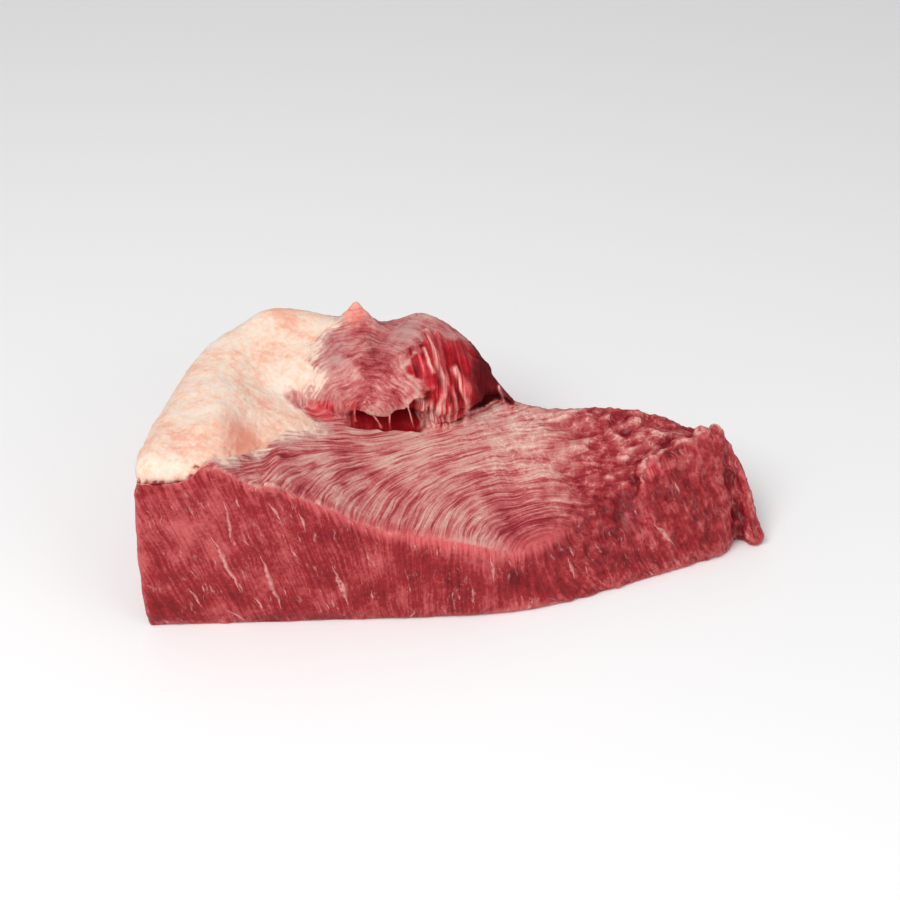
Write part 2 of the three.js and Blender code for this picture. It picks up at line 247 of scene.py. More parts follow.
# The last is the sinews' pale streaks, partly their own colour and partly painted highlight
CROWN_PALE, SINEW_RED, SINEW_PALE_AND_HIGHLIGHT = (214, 166, 158), (204, 76, 80), (240, 196, 184)
SMEAR_PINK, MARBLE_PALE = (206, 112, 110), (226, 166, 160)
BLUSH_PINK, THIN_GREY, FRINGE_RED = (228, 140, 116), (204, 166, 160), (150, 38, 44)

# Floor, lamps and camera, in metres
FLOOR_HALF, FLOOR_GREY, FLOOR_ROUGHNESS = 3.0, 0.92, 0.7
SKY_STRENGTH = 0.48
LAMPS = [("key", (-0.4, -0.7, 1.1), 0.8, 12.5), ("fill", (0.9, -0.9, 0.6), 0.9, 3.2)]
LAMP_TARGET = (0.0, 0.0, 0.04)
CAMERA_TARGET, CAMERA_DISTANCE = (-0.00526, 0.01605, 0.030), 0.896
CAMERA_ELEVATION = math.radians(35.0)
CAMERA_LENS, CAMERA_SENSOR = 80.0, 36.0


def smoothstep(value, low, high):
    """From 0 at the low end to 1 at the high end."""
    share = np.clip((value - low) / (high - low), 0.0, 1.0)
    return share * share * (3.0 - 2.0 * share)


def fade(value, low, high):
    """From 1 at the low end to 0 at the high end."""
    return 1 - smoothstep(value, low, high)


def band(value, rise, fall):
    """From 0 to 1 over the first span, and back to 0 over the second."""
    return smoothstep(value, *rise) * fade(value, *fall)


def bell(distance, width):
    """From 1 at no distance down to 0 well past the width."""
    return np.exp(-((distance / width) ** 2))


def dome(points, place, reach):
    """From 1 at a place down to 0 well outside its reach."""
    return np.exp(-(((points - place) / reach) ** 2).sum(axis=1))


def lerp(a, b, share):
    return a + (b - a) * share


def rail(*pairs):
    """A function that runs smoothly through a few (place, value) pairs."""
    places, values = (np.array(side, float) for side in zip(*pairs))

    def at(place):
        i = np.clip(np.searchsorted(places, place) - 1, 0, len(places) - 2)
        share = smoothstep(place, places[i], places[i + 1])
        return lerp(values[i], values[i + 1], share)

    return at


# Where the flat's top meets the point muscle, how high it is there, and how far the lip stands over it
cleft = rail((-95, -14), (-69.5, -8.8), (-48.7, 0.9), (-27.2, 5.9), (-9.7, 7.9), (8, 13.6), (22.2, 18.7))
cleft_floor = rail(
    (-95, 69), (-69.5, 64.1), (-48.7, 54.4), (-27.2, 48.9), (-9.7, 47.5), (8, 47.9), (22.2, 48.8),
)
cleft_reach = rail((-62, 4), (-38, 14))
lip_height = rail((-53, 2), (-45, 5), (-35, 5.5), (-27, 10), (-18, 16), (4, 18), (17, 10))

# Where the flat's film ends before the hollow, and how far along the tear starts at each height
gap_line = rail((-47.4, 0.2), (-38, 3.2), (-25, 5.6), (-9.7, 5.9), (8, 11.1), (22.3, 19.4))
tear_edge = rail(
    (48, -26), (62, -26), (66, -18), (70.5, -15), (73, -17), (76.4, -24), (79, -24), (81.5, -19), (84, -16),
)

# How far the fibres of the front cut slant along the length
cut_slant = rail((-125, 0.38), (-60, 0.3), (-10, 0.0), (20, 0.1), (60, 0.55), (130, 0.4))


def behind_front(x, y):
    """How far a place is behind the top edge of the front cut."""
    past = FRONT_SOFTNESS * np.log1p(np.exp((x - FRONT_BEND) / FRONT_SOFTNESS))
    foot = FRONT_FOOT + FRONT_SKEW * (x - FRONT_LEFT) + FRONT_SLOPE * past
    return y - foot - lerp(*FRONT_LEANS, smoothstep(x, *FRONT_LEAN_SPAN))


GRADIENTS = np.random.default_rng(SEED).normal(size=(256, 3))
GRADIENTS /= np.linalg.norm(GRADIENTS, axis=1)[:, None]
HASH_PRIMES = np.array([374761393, 668265263, 1274126177], np.uint32)
SEED_STEP, NOISE_GAIN = 101, 1.7


def noise(points, seed=0):
    """Smooth gradient noise at each of the points, from about -1 to 1."""
    cell = np.floor(points).astype(np.int64)
    inside = points - cell
    ease = inside**3 * (inside * (inside * 6 - 15) + 10)
    total = np.zeros(len(points))
    for corner in itertools.product((0, 1), repeat=3):
        offset = np.array(corner)
        hashed = (cell + offset + SEED_STEP * seed).astype(np.uint32) * HASH_PRIMES
        mixed = np.bitwise_xor.reduce(hashed, axis=1)
        mixed = (mixed ^ (mixed >> np.uint32(13))) * HASH_PRIMES[2]
        slope = GRADIENTS[(mixed >> np.uint32(8)) & np.uint32(255)]
        weight = np.where(offset, ease, 1.0 - ease).prod(axis=1)
        total += weight * ((inside - offset) * slope).sum(axis=1)
    return NOISE_GAIN * total


def layered(points, seed=0, octaves=3):
    """Noise with finer and weaker noise laid over it."""
    return sum(noise(points * 2.0**i, seed + i) * 0.5**i for i in range(octaves))


def warped(points, reach, size, seed):
    """The points moved about by noise, so that patterns made from them aren't straight."""
    shift = [noise(points / size, seed + i) for i in range(3)]
    return points + reach * np.stack(shift, axis=1)


def path_distance(points, path):
    """The distance from each point to a path of straight pieces."""
    shortest = np.full(len(points), np.inf)
    for start, end in zip(np.array(path[:-1], float), np.array(path[1:], float)):
        run = end - start
        share = np.clip((points - start) @ run / (run @ run), 0.0, 1.0)
        shortest = np.minimum(shortest, np.linalg.norm(points - start - share[:, None] * run, axis=1))
    return shortest


def neighbour_sums(values, edges):
    """The sum of the values of each point's neighbours."""
    start, end = edges.T
    count = len(values)
    return np.bincount(start, values[end], count) + np.bincount(end, values[start], count)


class Surface:
    """A mesh's points in millimetres, with the edges that smoothing runs along."""

    def __init__(self, mesh):
        self.mesh = mesh
        self.points = read(mesh.vertices, "co", 3) / MM
        self.edges = read(mesh.edges, "vertices", 2, np.int32)
        self.degree = np.bincount(self.edges.ravel(), minlength=len(self.points)).astype(float)

    def mean_of_neighbours(self, values):
        columns = values.reshape(len(values), -1).T
        sums = [neighbour_sums(column, self.edges) for column in columns]
        return (np.array(sums) / self.degree).T.reshape(values.shape)

    def spread(self, values, rounds):
        """Values averaged with their neighbours' a number of times."""
        for _ in range(rounds):
            values = 0.5 * (values + self.mean_of_neighbours(values))
        return values

    def spread_inside(self, values, inside, rounds):
        """Values averaged with their neighbours' inside a mask, with those outside it held."""
        edges = self.edges[inside[self.edges].any(axis=1)]
        rows = np.flatnonzero(inside)
        values = values.copy()
        for _ in range(rounds):
            for column in values.T:
                means = neighbour_sums(column, edges)[rows] / self.degree[rows]
                column[rows] += 0.5 * (means - column[rows])
        return values

    def ease(self, inside, rounds):
        """Takes the small forms out of the points inside a mask, and keeps the large ones."""
        eased = self.spread_inside(self.points, inside, rounds)
        for _ in range(2):
            eased += self.spread_inside(self.points - eased, inside, rounds)
        self.points = eased

    def smooth(self, rounds, keep=0.53):
        """Evens out the points, each second pass giving back the size that the first one took."""
        for _ in range(rounds):
            self.points += 0.5 * (self.mean_of_neighbours(self.points) - self.points)
            self.points -= keep * (self.mean_of_neighbours(self.points) - self.points)

    def normals(self):
        self.write()
        return read(self.mesh.vertices, "normal", 3)

    def push(self, heights):
        """Moves the points outward, all by one height or each by its own."""
        self.points += self.normals() * np.reshape(heights, (-1, 1))

    def write(self):
        self.mesh.vertices.foreach_set("co", (self.points * MM).astype(np.float32).ravel())
        self.mesh.update()

    def store(self, name, values):
        """Keeps a number or a vector for each point, for the material to read."""
        kind, field = ("FLOAT", "value") if values.ndim == 1 else ("FLOAT_VECTOR", "vector")
        attribute = self.mesh.attributes.new(name, kind, "POINT")
        attribute.data.foreach_set(field, values.astype(np.float32).ravel())


def read(collection, field, width, kind=np.float32):
    flat = np.empty(len(collection) * width, kind)
    collection.foreach_get(field, flat)
    return flat.reshape(-1, width).astype(float if kind is np.float32 else kind)


def linked(name, data):
    """A new object in the scene."""
    obj = bpy.data.objects.new(name, data)
    bpy.context.scene.collection.objects.link(obj)
    return obj


def applied(holder):
    """The mesh that an object's modifiers make of its own. The object is removed."""
    graph = bpy.context.evaluated_depsgraph_get()
    made = bpy.data.meshes.new_from_object(holder.evaluated_get(graph))
    bpy.data.objects.remove(holder)
    return made


def rebuilt(mesh, voxel):
    """The closed mesh rebuilt from even squares of one size."""
    holder = linked("holder", mesh)
    remesh = holder.modifiers.new("even", "REMESH")
    remesh.mode = "VOXEL"
    remesh.voxel_size = voxel * MM
    return applied(holder)


def piece(name, mesh, material, slot, *replaced):
    """A finished piece of the part, riding on its one body."""
    obj = linked(name, mesh)
    mesh.materials.clear()
    mesh.materials.append(material)
    mesh.shade_smooth()
    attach(obj, "root")
    if replaced:
        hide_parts(*replaced)


def faces_of(mesh):
    return [tuple(p.vertices) for p in mesh.polygons]


def joined(name, parts):
    """One mesh of several parts, each given as its points in millimetres and its faces."""
    points, faces = np.zeros((0, 3)), []
    for part_points, part_faces in parts:
        faces += [[len(points) + i for i in face] for face in part_faces]
        points = np.vstack([points, part_points])
    mesh = bpy.data.meshes.new(name)
    mesh.from_pydata((points * MM).tolist(), [], faces)
    return mesh


def tree_of(mesh):
    return BVHTree.FromPolygons([v.co for v in mesh.vertices], faces_of(mesh))


def nearest(tree, points):
    """The nearest places on a mesh in millimetres, the way it faces there, and how far they are."""
    found = [tree.find_nearest(Vector(p)) for p in points * MM]
    places = np.array([f[0] for f in found]) / MM
    facing = np.array([f[1] for f in found])
    return places, facing, np.array([f[3] for f in found]) / MM


# Zones of the muscle

def on_point(points):
    """True on the point muscle, which stands above the flat behind the cleft."""
    x, y, z = points.T
    return (y > cleft(x) - cleft_reach(x)) & (x < POINT_END) & (z > cleft_floor(x) + POINT_STEP)


def in_gap(points, blur):
    """How far each point is inside the hollow floor under the point's lip, from 0 to 1."""
    x, y, z = points.T
    ragged = 1.5 * noise(points / 5.0, 35) + 0.7 * noise(points / 2.2, 36)
    behind = smoothstep(y - gap_line(x) + ragged, -blur, blur)
    along = smoothstep(x, *LIP_FROM) * fade(x + 2 * ragged, *LIP_TO)
    return behind * along * fade(z - cleft_floor(x), *GAP_RISE) * (z > GAP_LOWEST) * (y < MOUND[1])


def up_torn(points):
    """How far each point is up the leaning face of the torn end."""
    return points[:, 1] * math.sin(TORN_LEAN) + points[:, 2] * math.cos(TORN_LEAN)


def clump(points):
    """How far each point is inside the clump of sinew ends, from 0 to 1."""
    x, y, z = points.T
    along = (x - CLUMP[0]) / CLUMP_REACH[0]
    up = (up_torn(points) - CLUMP[1]) / CLUMP_REACH[1]
    return np.exp(-(along**4) - up**4) * band(y, TORN_FRONT, CLUMP_TO) * (z > TORN_FLOOR)


def cut_zone(points, facing, under, point):
    """The cut faces, from 0 to 1: the front, the two ends, the underside and the back."""
    x, y, z = points.T
    soft = lerp(*CUT_SOFTNESS, smoothstep(x, *CUT_SOFTENS))
    ragged = noise(points / (1.6, 6.0, 6.0), 31)
    forward = -facing[:, 1] - CUT_UPWARD * np.maximum(facing[:, 2], 0)
    forward = forward + CUT_RAGGED * soft * ragged - CUT_ROLL * band(x, ROLL_FROM, ROLL_TO)
    front = smoothstep(forward, -soft, soft) * fade(behind_front(x, y), *FRONT_SPAN)
    ends = np.maximum(fade(x, *LEFT_END), smoothstep(x, *RIGHT_END))
    side = smoothstep(np.abs(facing[:, 0]) - facing[:, 2], *SIDE_FACING) * ends
    corner = smoothstep(-x, *BACK_CORNER) * (y > 0)
    back = smoothstep(facing[:, 1] - corner * facing[:, 0], *BACK_FACING)
    return np.maximum(np.maximum(front, side) * (1 - point), np.maximum(under * (z < UNDER_TOP), back))


def torn_zone(points, point):
    """The torn end of the point, from 0 to 1, with the hollow under the lip and the clump of sinew ends."""
    x, y, z = points.T
    jag = 3 * noise(points / (5.0, 5.0, 4.0), 32) + 1.5 * noise(points / 2.0, 34)
    torn = smoothstep(x + jag - tear_edge(z), -1, 1)
    under_lip = smoothstep(cleft_floor(x) + lip_height(x) - z, -1, 1) * smoothstep(x, *LIP_FROM)
    back = lerp(*TEAR_BACK, smoothstep(x, *TEAR_BACK_SPAN))
    torn = point * np.maximum(torn, under_lip) * fade(y + jag, back - TEAR_BACK_SOFT, back + TEAR_BACK_SOFT)
    return np.maximum.reduce([torn, in_gap(points, 0.6), smoothstep(clump(points), 0.3, 0.7)])


def zones(surface):
    """Masks from 0 to 1 for what covers each point of the muscle, and the way it faces."""
    points = surface.points
    x, y, z = points.T
    facing = surface.spread(surface.normals(), FACING_ROUNDS)
    point = on_point(points).astype(float)
    under = smoothstep(-facing[:, 2], *UNDER_FACING)
    torn = torn_zone(points, point)
    lump = smoothstep(x + 8 * noise(points / 15.0, 33), *LUMP_FROM) * (1 - point)
    slack = smoothstep(x + 8 * noise(points / 12.0, 39), *SLACK_FROM) * smoothstep(y, *SLACK_BACK)
    return {
        "point": point,
        "lobe": point * (1 - torn),
        "cut": cut_zone(points, facing, under, point),
        "torn": torn,
        "lump": lump,
        "slack": slack * (1 - point) * (1 - lump),
        "under": under,
        "facing": facing,
    }


# Grain of the muscle

def top_grain(x, y):
    """Which fibre of the flat's top runs through a place, told by where it meets the front edge."""
    across = np.maximum(GRAIN_CENTRE[0] - x, 0.0)
    along = np.maximum(y - GRAIN_CENTRE[1], 0.0)
    along = along * (1 + GRAIN_BOW * (along / GRAIN_BOW_REACH) ** 2)
    low, high = (np.full(len(x), limit) for limit in GRAIN_LIMITS)
    for _ in range(GRAIN_STEPS):
        reach = 0.5 * (low + high)
        share = smoothstep(reach, GRAIN_ROUND, GRAIN_FLAT)
        power = lerp(*GRAIN_POWER, share)
        squash = lerp(*GRAIN_SQUASH, share)
        outside = (across / reach) ** power + (along / (squash * reach)) ** power > 1.0
        low = np.where(outside, reach, low)
        high = np.where(outside, high, reach)
    return GRAIN_CENTRE[0] - reach


def grain_of(points, zone):
    """Across and along the fibres in millimetres with a number for the zone, and how the fibres crowd."""
    x, y, z = points.T
    fibre = top_grain(x, y)
    step = 1.0
    crowd = np.hypot(top_grain(x + step, y) - fibre, top_grain(x, y + step) - fibre) / step
    level = np.clip(np.log2(np.maximum(crowd, 1.0)), 0.0, 2.0)
    same = np.ones(len(x))
    grain = np.stack([fibre, GRAIN_ALONG * (x + y), TOP_GRAIN * same], axis=1)
    cut = np.stack([x + cut_slant(x) * (z - CUT_MIDDLE), z, CUT_GRAIN * same], axis=1)
    cut[:, 0] += np.where(np.abs(zone["facing"][:, 0]) > END_FACING, y, 0)
    from_swirl = warped(points, 2.2, 14.0, 41) - SWIRL
    aside = from_swirl[:, 0]
    up = from_swirl @ np.cross(SWIRL_AXIS, (1.0, 0.0, 0.0))
    lobe = np.stack([np.hypot(aside, up), SWIRL_TURN * np.arctan2(aside, up), LOBE_GRAIN * same], axis=1)
    torn = np.stack([x + 0.25 * y, z, TORN_GRAIN * same], axis=1)
    for name, other in (("cut", cut), ("point", lobe), ("torn", torn)):
        there = zone[name] > 0.5
        grain = np.where(there[:, None], other, grain)
        level = np.where(there, 0.0, level)
    return grain, level


def fibres(grain, level, across, along, seed):
    """Streaks along the grain, fewer and wider where its lines crowd together."""
    total = np.zeros(len(grain))
    for step in range(3):
        share = np.clip(1 - np.abs(level - step), 0, 1)
        total += share * noise(grain / (across * 2**step, along, 10.0), seed + step)
    return total


# Forms of the muscle

def wrinkles(points):
    """Rounded lumps with sharp creases between them, longer along the piece than across."""
    bent = warped(points, 5.0, 17.0, 51)
    broad = 2 * np.abs(noise(bent / BROAD_LUMPS, 54)) - 0.5
    narrow = 2 * np.abs(noise(bent / NARROW_LUMPS, 56)) - 0.5
    return broad + 0.6 * narrow


def sinews(points):
    """How pale each point is by the sinews on it, from 0 to 1, and how far they raise it."""
    x, y, z = points.T
    face = np.stack([x, up_torn(points)], axis=1)
    face += 0.5 * np.stack([noise(points / 4.0, 64), noise(points / 4.0, 65)], axis=1)
    there = band(y, TORN_FRONT, SINEW_TO) * smoothstep(x, *SINEW_ALONG) * (x < SINEW_END) * (z > TORN_FLOOR)
    pale, raised = np.zeros(len(x)), np.zeros(len(x))
    for half, rise, paleness, path in SINEWS:
        near = there * bell(path_distance(face, path), half)
        pale = np.maximum(pale, paleness * near)
        raised = np.maximum(raised, rise * near)
    streak = noise(np.stack([face[:, 0] / 2.0, face[:, 1] / 7, 0 * x], axis=1), 68)
    ends = clump(points) * smoothstep(streak, -0.35, 0.15)
    return np.maximum(pale, ends), np.maximum(raised, CLUMP_HEIGHT * ends)


def hollow_out(surface):
    """Cuts the hollow under the point's lip, its torn end and the gap before it."""
    points = surface.points.copy()
    x, y, z = points.T
    point = on_point(points)
    front = point * fade(y, *POINT_FRONT)
    edge = cleft_floor(x) + lip_height(x) + 1.6 * noise(points / 5.0, 61)
    below = smoothstep(edge - z, -LIP_SOFT, LIP_SOFT) * front * band(x, LIP_FROM, LIP_TO)
    inward = np.stack([MOUND[0] - x, MOUND[1] - y], axis=1)
    inward /= np.linalg.norm(inward, axis=1)[:, None] + 1e-6
    surface.points[:, :2] += LIP_DEPTH * below[:, None] * inward
    wall = gap_line(x) + 1
    fill = front * band(x, LIP_TO, FILL_TO) * fade(z, *FILL_BELOW)
    surface.points[:, 1] += fill * np.minimum(wall - y, 0)
    tear = front * smoothstep(x - tear_edge(z), *TEAR_SOFT) * fade(x, *PIT_TO) * fade(z, *TEAR_BELOW)
    pit = front * band(x, PIT_FROM, PIT_TO) * fade(z, *PIT_BELOW)
    folds = noise(points / (7.5, 30.0, 30.0), 62)
    surface.points[:, 1] += tear * (TEAR_DEPTH + TEAR_FOLDS * folds) * (1 - 0.6 * below) + PIT_DEPTH * pit
    foot = point * smoothstep(x, *FOOT_ALONG) * band(y, FOOT_FROM, FOOT_TO)
    surface.points[:, 0] += FOOT_REACH * foot * fade(z, *FOOT_BELOW)
    surface.points[:, 2] -= GAP_DEPTH * in_gap(points, 1.2) * (1 - point)


def shape_muscle(surface):
    """The main forms that the plain solid only hints at."""
    surface.smooth(FORM_ROUNDS)
    points = surface.points
    x, y, z = points.T
    shoulder = band(x, SHOULDER_FROM, SHOULDER_TO) * fade(behind_front(x, y), *SHOULDER_BACK)
    shoulder = shoulder * smoothstep(z, *SHOULDER_UP)
    surface.points = lerp(points, surface.spread(points, SHOULDER_ROUNDS), shoulder[:, None])
    hollow_out(surface)
    for width, depth, path in STROKES:
        uneven = 1 + STROKE_UNEVEN * noise(surface.points / 6.0, 52)
        surface.push(depth * uneven * bell(path_distance(surface.points, path), width))
    zone = zones(surface)
    points = surface.points
    bare = 1 - zone["under"]
    slump = zone["lump"] * (1 - 0.75 * zone["cut"]) * bare * fade(points[:, 1], *WRINKLE_BACK)
    surface.push(WRINKLE_HEIGHT * wrinkles(points) * slump)
    surface.push(POINT_RELIEF * layered(points / (14.0, 12.0, 7.0), 63) * zone["point"] * bare)
    surface.write()


def thinned(surface):
    """The mesh with fewer triangles where little shows: below, behind and at the thick end."""
    points = surface.points
    facing = surface.spread(surface.normals(), FACING_ROUNDS)
    below = (points[:, 2] < 2) & (facing[:, 2] < -0.7)
    aside = (facing[:, 1] > 0.6) | ((facing[:, 0] < -0.8) & (points[:, 0] < -100))
    holder = linked("holder", surface.mesh)
    group = holder.vertex_groups.new(name="plain")
    group.add(np.flatnonzero(aside).tolist(), 0.5, "REPLACE")
    group.add(np.flatnonzero(below).tolist(), 1.0, "REPLACE")
    fewer = holder.modifiers.new("fewer", "DECIMATE")
    fewer.vertex_group = "plain"
    fewer.vertex_group_factor = 1000.0
    fewer.ratio = min(1.0, MUSCLE_TRIANGLES / sum(len(p.vertices) - 2 for p in surface.mesh.polygons))
    return applied(holder)


def make_skin():
    """The outer surface of muscle and fat together, which both follow where they meet."""
    fat = Surface(rebuilt(fat_solid, FAT_VOXEL))
    fat.smooth(SWOLLEN_ROUNDS)
    fat.push(FAT_SWELL)
    fat.write()
    parts = [(part.points, faces_of(part.mesh)) for part in (Surface(lean_solid), fat)]
    surface = Surface(rebuilt(joined("both", parts), FORM_VOXEL))
    surface.smooth(FORM_ROUNDS)
    from_fat = nearest(tree_of(fat.mesh), surface.points)[2]
    surface.ease(surface.spread(fade(from_fat, 2.5, 4.0), 20) > 0.8, FAT_EASE)
    surface.push(-FAT_SWELL * surface.spread(fade(from_fat, 1.0, 2.0), 8))
    surface.write()
    return surface.mesh


def nearest_vein(points):
    """How far aside of the nearest marbling vein each point is, and how far from it, in vein widths."""
    flat = points[:, [0, 2]]
    aside, shortest = (np.full(len(points), FAR_FROM_VEIN) for _ in range(2))
    for half, start, end in VEINS:
        run = np.subtract(end, start)
        length = np.linalg.norm(run)
        share = np.clip((flat - start) @ run / length**2, 0.0, 1.0)
        way = np.stack([share * length / 6, half + 0 * share, 0 * share], axis=1)
        wander = VEIN_WANDER * noise(way, 71)
        side = ((flat - start) @ np.array([-run[1], run[0]]) / length + wander) / half
        away = np.linalg.norm(flat - start - share[:, None] * run, axis=1) / half
        closer = away < shortest
        aside = np.where(closer, side / (0.25 + np.sin(np.pi * share)), aside)
        shortest = np.where(closer, away, shortest)
    return aside, shortest


def lean_surface(skin_tree):
    """The muscle with its main forms, closed up to the fat, and how far each point is from the fat."""
    surface = Surface(rebuilt(lean_solid, FORM_VOXEL))
    shape_muscle(surface)
    surface = Surface(rebuilt(surface.mesh, GRAIN_VOXEL))
    surface.smooth(GRAIN_ROUNDS)
    surface.write()
    surface = Surface(thinned(surface))
    to_fat = nearest(tree_of(fat_solid), surface.points)[2]
    surface.push(LEAN_LAP * fade(to_fat, *LEAN_LAP_SPAN))
    skin, _, from_skin = nearest(skin_tree, surface.points)
    at_seam = fade(to_fat, *SEAM_REACH) * fade(from_skin, *SKIN_REACH)
    surface.points = lerp(surface.points, skin, at_seam[:, None])
    return surface, to_fat


def relief(points, zone, edge, grain, level):
    """How high the fibres stand on the film, and how high all the fine relief is."""
    x = points[:, 0]
    ridges = 0.42 * fibres(grain, level, 1.5, 18, 3) + 0.55 * fibres(grain, level, 3.0, 30, 7)
    folds = fibres(grain, level, 5.5, 30, 11)
    film = (1 - zone["cut"]) * (1 - zone["torn"])
    shreds = 0.35 * fibres(grain, level, 3.4, 9, 19) + 0.9 * layered(points / 7.0, 23)
    height = film * ridges * lerp(0.4, 0.2, zone["lump"])
    height += zone["cut"] * smoothstep(x, *SHREDS_FROM) * shreds
    height += edge * zone["lump"] * 1.2 * layered(points / 6.0, 25, 2)
    height += zone["torn"] * (0.6 * folds + 0.25 * ridges) * (1 - 0.8 * smoothstep(x, *FOLDS_END))
    height += zone["cut"] * (0.3 * layered(points / 9.0, 9) + 0.12 * fibres(grain, level, 2.0, 7, 13))
    height += edge * 0.35 * noise(points / (1.8, 3.0, 3.0), 15)
    return ridges, height


def patches(points, places):
    """How far each point is inside soft patches, from 0 to 1."""
    bent = warped(points, 2.0, 5.0, 66)
    return sum(dome(bent, place, reach) for place, reach in places)


def make_lean(skin_tree):
    """The muscle's mesh, with what its material reads at each point."""
    surface, to_fat = lean_surface(skin_tree)
    zone = zones(surface)
    points = surface.points.copy()
    x, y, z = points.T
    lobe, lump, slack = zone["lobe"], zone["lump"], zone["slack"]
    unruly = lerp(0.7, 2.4, np.maximum.reduce([lump * (1 - zone["cut"]), 0.5 * lobe, 0.6 * slack]))
    grain, level = grain_of(warped(points, unruly[:, None], 9.0, 1), zone)
    edge = surface.spread((zone["cut"] > 0.5).astype(float), 200)
    edge = 4 * edge * (1 - edge)
    ridges, height = relief(points, zone, edge, grain, level)
    pale, raised = sinews(points)
    surface.push((height + raised) * (1 - zone["under"]))
    surface.points[:, 2] = np.maximum(surface.points[:, 2], 0.0)
    surface.write()
    # How deep each point lies in a hollow, by which the material paints shade into hollows and light onto
    # crests
    hollow = np.einsum("ij,ij->i", surface.spread(surface.points, 30) - surface.points, surface.normals())
    tone = sum(power * dome(points, place, reach) for place, reach, power in BLOTS)
    aside, from_vein = nearest_vein(points)
    # Shade painted into the pit of the torn end, darker lower down, and more lightly into the gap under the
    # lip
    pit = smoothstep(x + 2 * noise(points / 4.0, 38), *PIT_SHADE_FROM) * fade(z, *PIT_SHADE_BELOW)
    from_tip = np.linalg.norm(points - TIP, axis=1) + 2 * noise(points / 3.0, 17)
    values = {
        "hollow": np.clip(0.5 + 0.5 * hollow / 0.9, 0, 1),
        "grain": grain,
        "level": level,
        "ridge": 0.5 + 0.5 * ridges * lerp(1, 0.6, zone["point"]),
        "fatty": fade(to_fat, 0.5, 9.0) * smoothstep(y - FAT_FRONT, -3, 4),
        "edge": edge * lerp(0.6, 1.0, smoothstep(x, -70, -20)),
        "tone": 0.5 + 0.5 * np.clip(tone, -1, 1),
        "tip": fade(from_tip, *TIP_SPAN),
        "deep_shade": zone["torn"] * np.maximum(pit, 0.5 * in_gap(points, 1.5)),
        "aside": aside,
        "from_vein": from_vein,
        "sinew": pale,
        "curl": bell(path_distance(points, CURL), CURL_WIDTH),
        "violet": patches(points, VIOLET),
        "coral": patches(points, CORAL),
        "loose": np.maximum.reduce([lump, 0.8 * lobe, 0.7 * slack]),
        "order": 1 - 0.7 * lump - 0.45 * lobe - 0.3 * slack,
        "slack": np.maximum(lump, slack),
    }
    for name in ("cut", "torn", "lump"):
        values[name] = surface.spread(zone[name], 1)
    for name, numbers in values.items():
        surface.store(name, numbers)
    return surface.mesh


def make_fat(skin_tree):
    """The fat's mesh, thin and ragged along its edge, with what its material reads at each point."""
    surface = Surface(rebuilt(fat_solid, FAT_VOXEL))
    surface.smooth(FAT_ROUNDS)
    points = surface.points.copy()
    surface.push(SEAM_GAP + FAT_LAP)
    skin, outward, from_skin = nearest(skin_tree, surface.points)
    inside = nearest(tree_of(lean_solid), points)[2] - SEAM_GAP
    ragged = inside + 1.3 * layered(points / 4.0, 22, 2)
    mounds = 0.55 * layered(points / 12.0, 21) + 0.2 * layered(points / 3.0, 24, 2)
    rise = lerp(-FAT_DIP, FAT_RISE, smoothstep(ragged, 0.2, 2.6)) + mounds * smoothstep(inside, 1, 4)
    alike = np.einsum("ij,ij->i", surface.normals(), outward)
    outer = np.maximum(fade(from_skin, 2.2, 3.4), smoothstep(alike, 0.1, 0.5) * (from_skin < 8))
    surface.points = lerp(surface.points, skin + outward * rise[:, None], outer[:, None])
    teeth = inside + 1.5 * noise(points / (2.2, 5.0, 5.0), 26)
    fringe = fade(teeth, 0.8, 1.8) * smoothstep(-surface.normals()[:, 2], -0.6, -0.3)
    surface.store("fringe", fringe * (points[:, 1] < FAT_FRONT))
    surface.store("thin", fade(inside, 0.0, 3.5))
    surface.store("flesh", patches(points, FLESH))
    surface.store("blush", dome(points, BLUSH, BLUSH_REACH))
    return surface.mesh


def tube(path, half, seed, sides=8, steps=9):
    """The points and faces of a strand along a smooth path, thinner at its middle and uneven."""
    knots = np.array(path, float)
    knots = np.vstack([2 * knots[0] - knots[1], knots, 2 * knots[-1] - knots[-2]])
    spans = len(path) - 1
    place = np.linspace(0, spans, spans * steps + 1)
    first = np.minimum(place.astype(int), spans - 1)
    t = (place - first)[:, None]
    a, b, c, d = (knots[first + i] for i in range(4))
    centre = b + 0.5 * t * (c - a + t * (2 * a - 5 * b + 4 * c - d + t * (3 * (b - c) + d - a)))
    uneven = 1 + 0.45 * noise(np.stack([place * 1.7, 0 * place + seed, 0 * place], axis=1), 81)
    radius = half * (1.3 - 0.6 * np.sin(np.pi * (place / spans))) * uneven
    along = np.gradient(centre, axis=0)
    side = np.cross(along, (0.0, 1.0, 0.0))
    side /= np.linalg.norm(side, axis=1)[:, None]
    out = np.cross(side, along)
    out /= np.linalg.norm(out, axis=1)[:, None]
    angles = np.arange(sides)[:, None] * 2 * np.pi / sides
    around = np.cos(angles) * side[:, None] + 0.7 * np.sin(angles) * out[:, None]
    points = centre[:, None] + radius[:, None, None] * around
    rings = np.arange(len(place) * sides).reshape(-1, sides)
    after = np.roll(rings, -1, axis=1)
    quads = np.stack([rings[:-1], after[:-1], after[1:], rings[1:]], axis=2).reshape(-1, 4)
    return points.reshape(-1, 3), [*quads.tolist(), rings[0, ::-1].tolist(), rings[-1].tolist()]


def make_strands():
    return joined("strands", [tube(path, half, seed) for seed, (half, path) in enumerate(STRANDS)])


# Materials

def srgb(red, green, blue):
    """A colour as seen on screen, each part from 0 to 255, as the linear colour that shaders use."""
    parts = np.array([red, green, blue]) / 255.0
    linear = np.where(parts <= 0.04045, parts / 12.92, ((parts + 0.055) / 1.055) ** 2.4)
    return (*linear.tolist(), 1.0)


